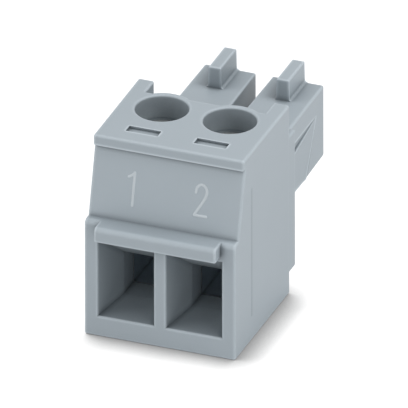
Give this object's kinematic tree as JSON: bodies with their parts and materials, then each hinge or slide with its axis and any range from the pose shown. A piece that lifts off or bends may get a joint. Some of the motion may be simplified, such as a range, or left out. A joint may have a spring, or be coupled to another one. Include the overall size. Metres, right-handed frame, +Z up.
{
  "type": "pluggable screw terminal block",
  "caption": "Grey pluggable screw terminal block: wires enter at the front, screws on top lift clamp cages, and a stepped nose behind mates with a board header.",
  "frame": {"origin": "middle of the bounding box's bottom face, which lies in the plug's flat bottom face", "axes": "+Z up towards the screw heads, +Y towards the mating nose, -Y towards the wire openings, X along the row of poles"},
  "size_m": [0.0084, 0.0162, 0.0111],
  "materials": {
    "housing": "fine matte moulded",
    "screw": "zinc plated",
    "cage": "zinc plated",
    "contact": "tin plated"
  },
  "bodies": {
    "housing": {"housing": "housing", "contact_1": "contact", "contact_2": "contact"},
    "screw_1": {"terminal_screw_1": "screw"},
    "screw_2": {"terminal_screw_2": "screw"},
    "cage_1": {"clamp_cage_1": "cage"},
    "cage_2": {"clamp_cage_2": "cage"}
  },
  "joints": [
    {"name": "cage_rise_1", "type": "slide", "parent": "housing", "child": "cage_1", "axis": [0, 0, 1], "range_m": [0, 0.0022]},
    {"name": "screw_turn_1", "type": "hinge", "parent": "housing", "child": "screw_1", "pos_m": [-0.00191, -0.00196, 0.0086], "axis": [0, 0, -1], "range_deg": [0, 1980]},
    {"name": "cage_rise_2", "type": "slide", "parent": "housing", "child": "cage_2", "axis": [0, 0, 1], "range_m": [0, 0.0022]},
    {"name": "screw_turn_2", "type": "hinge", "parent": "housing", "child": "screw_2", "pos_m": [0.00191, -0.00196, 0.0086], "axis": [0, 0, -1], "range_deg": [0, 1980]}
  ],
  "couplings": [
    {"joint": "screw_turn_1", "follows": "cage_rise_1", "rad_per_m": 15708},
    {"joint": "screw_turn_2", "follows": "cage_rise_2", "rad_per_m": 15708}
  ]
}
